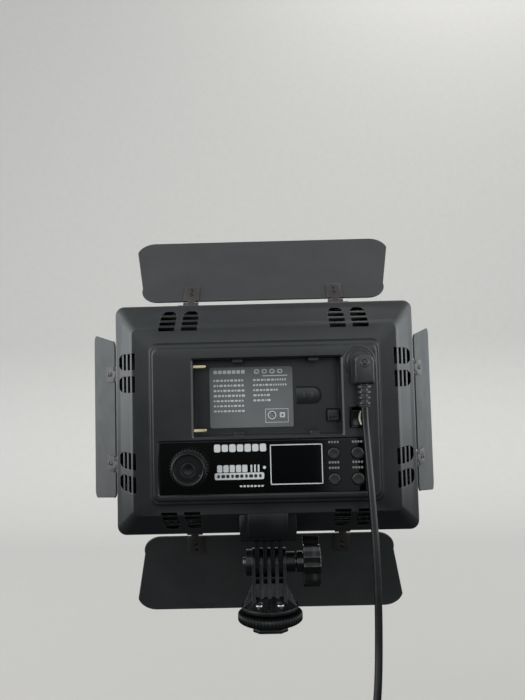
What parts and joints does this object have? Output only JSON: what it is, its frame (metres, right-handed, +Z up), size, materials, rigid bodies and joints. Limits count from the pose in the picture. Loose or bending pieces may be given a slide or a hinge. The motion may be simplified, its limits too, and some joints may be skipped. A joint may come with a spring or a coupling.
{
  "type": "led panel light",
  "caption": "Flat LED video light with a sloped vented housing, folding barn doors, a control panel, a battery bay and a finger tilt mount.",
  "frame": {"origin": "axis of the stand thread at the underside of the shoe foot", "axes": "+Z up along the stand thread, +X to the right seen from the back, +Y the way the light shines (tilted 7 degrees up at rest)"},
  "size_m": [0.2234, 0.1062, 0.4009],
  "materials": {
    "housing_plastic": "fine satin grain",
    "diffuser": "milky, satin",
    "aluminium": "rolled",
    "white_board": "white solder mask",
    "cool_lamp": "clear lens over white",
    "warm_lamp": "yellow phosphor",
    "circuit_board": "green solder mask",
    "gold": "gold plated",
    "label": "satin film",
    "gloss_panel": "polished",
    "display_glass": "clear cover over a dark screen",
    "steel": "zinc plated",
    "knob_plastic": "semi-gloss moulding",
    "button_plastic": "soft satin",
    "cord_rubber": "smooth moulded",
    "adapter_plastic": "fine spark texture",
    "strap_metal": "dark plated strip",
    "rivet_metal": "black",
    "door_metal": "fine powder coat"
  },
  "bodies": {
    "head": {"rear_housing": "housing_plastic", "front_frame": "housing_plastic", "diffuser": "diffuser", "heat_plate": "aluminium", "led_board": "white_board", "cool_leds": "cool_lamp", "warm_leds": "warm_lamp", "driver_board": "circuit_board", "control_board": "circuit_board", "battery_contacts": "gold", "spring_tongue": "housing_plastic", "rating_plate": "label", "control_panel": "gloss_panel", "display": "display_glass", "encoder_body": "steel", "key_switches": "steel", "switch_frame": "knob_plastic", "dc_socket": "knob_plastic", "dc_plug": "cord_rubber", "strain_relief": "cord_rubber", "power_cord": "cord_rubber", "cord_coil": "cord_rubber", "cord_tie": "cord_rubber", "wall_adapter": "adapter_plastic", "board_screws": "steel", "upper_bracket": "knob_plastic", "bracket_screws": "steel", "hinge_straps": "strap_metal", "strap_rivets": "rivet_metal", "hinge_pins": "steel"},
    "battery_catch": {"battery_latch": "knob_plastic"},
    "dimmer": {"encoder_shaft": "steel", "dimmer_knob": "knob_plastic"},
    "exit_key": {"exit_button": "button_plastic"},
    "ok_key": {"ok_button": "button_plastic"},
    "coarse_key": {"coarse_button": "button_plastic"},
    "scene_key": {"scene_button": "button_plastic"},
    "rocker": {"power_rocker": "gloss_panel"},
    "upper_leaf": {"top_door": "door_metal", "top_leaves": "strap_metal", "top_rivets": "rivet_metal"},
    "lower_leaf": {"bottom_door": "door_metal", "bottom_leaves": "strap_metal", "bottom_rivets": "rivet_metal"},
    "left_leaf": {"left_door": "door_metal", "left_leaves": "strap_metal", "left_rivets": "rivet_metal"},
    "right_leaf": {"right_door": "door_metal", "right_leaves": "strap_metal", "right_rivets": "rivet_metal"},
    "base": {"finger_base": "knob_plastic", "base_screws": "steel", "tilt_nut": "steel", "shoe_foot": "knob_plastic"},
    "tilt_clamp": {"tilt_bolt": "steel", "tilt_knob": "knob_plastic"},
    "ring": {"lock_ring": "knob_plastic"}
  },
  "joints": [
    {"name": "head_tilt", "type": "hinge", "parent": "base", "child": "head", "pos_m": [0, 0, 0.034], "axis": [1, 0, 0], "range_deg": [-35, 70]},
    {"name": "clamp_turn", "type": "hinge", "parent": "base", "child": "tilt_clamp", "pos_m": [0, 0, 0.034], "axis": [1, 0, 0], "continuous": true},
    {"name": "ring_turn", "type": "hinge", "parent": "base", "child": "ring", "pos_m": [0, 0, 0.0065], "axis": [0, 0, 1], "continuous": true},
    {"name": "top_door_fold", "type": "hinge", "parent": "head", "child": "upper_leaf", "pos_m": [0, 0.00491, 0.18271], "axis": [1, 0, 0], "range_deg": [-141, 59]},
    {"name": "bottom_door_fold", "type": "hinge", "parent": "head", "child": "lower_leaf", "pos_m": [0, 0.02155, 0.04723], "axis": [-1, 0, 0], "range_deg": [-155, 13]},
    {"name": "left_door_fold", "type": "hinge", "parent": "head", "child": "left_leaf", "pos_m": [-0.0888, 0.0106, 0.1159], "axis": [0, -0.1219, 0.9925], "range_deg": [-125, 65]},
    {"name": "right_door_fold", "type": "hinge", "parent": "head", "child": "right_leaf", "pos_m": [0.0888, 0.0106, 0.1159], "axis": [0, 0.1219, -0.9925], "range_deg": [-119, 71]},
    {"name": "dimmer_turn", "type": "hinge", "parent": "head", "child": "dimmer", "pos_m": [-0.0395, -0.03269, 0.08691], "axis": [0, 0.9925, 0.1219], "continuous": true},
    {"name": "power_switch", "type": "hinge", "parent": "head", "child": "rocker", "pos_m": [0.0483, -0.02831, 0.11193], "axis": [1, 0, 0], "range_deg": [-18, 0]},
    {"name": "exit_press", "type": "slide", "parent": "head", "child": "exit_key", "axis": [0, 0.9925, 0.1219], "range_m": [0, 0.0006], "stiffness_N_per_m": 400},
    {"name": "ok_press", "type": "slide", "parent": "head", "child": "ok_key", "axis": [0, 0.9925, 0.1219], "range_m": [0, 0.0006], "stiffness_N_per_m": 400},
    {"name": "coarse_press", "type": "slide", "parent": "head", "child": "coarse_key", "axis": [0, 0.9925, 0.1219], "range_m": [0, 0.0006], "stiffness_N_per_m": 400},
    {"name": "scene_press", "type": "slide", "parent": "head", "child": "scene_key", "axis": [0, 0.9925, 0.1219], "range_m": [0, 0.0006], "stiffness_N_per_m": 400},
    {"name": "battery_catch_press", "type": "slide", "parent": "head", "child": "battery_catch", "axis": [0, 0.9925, 0.1219], "range_m": [0, 0.0038], "stiffness_N_per_m": 300}
  ]
}
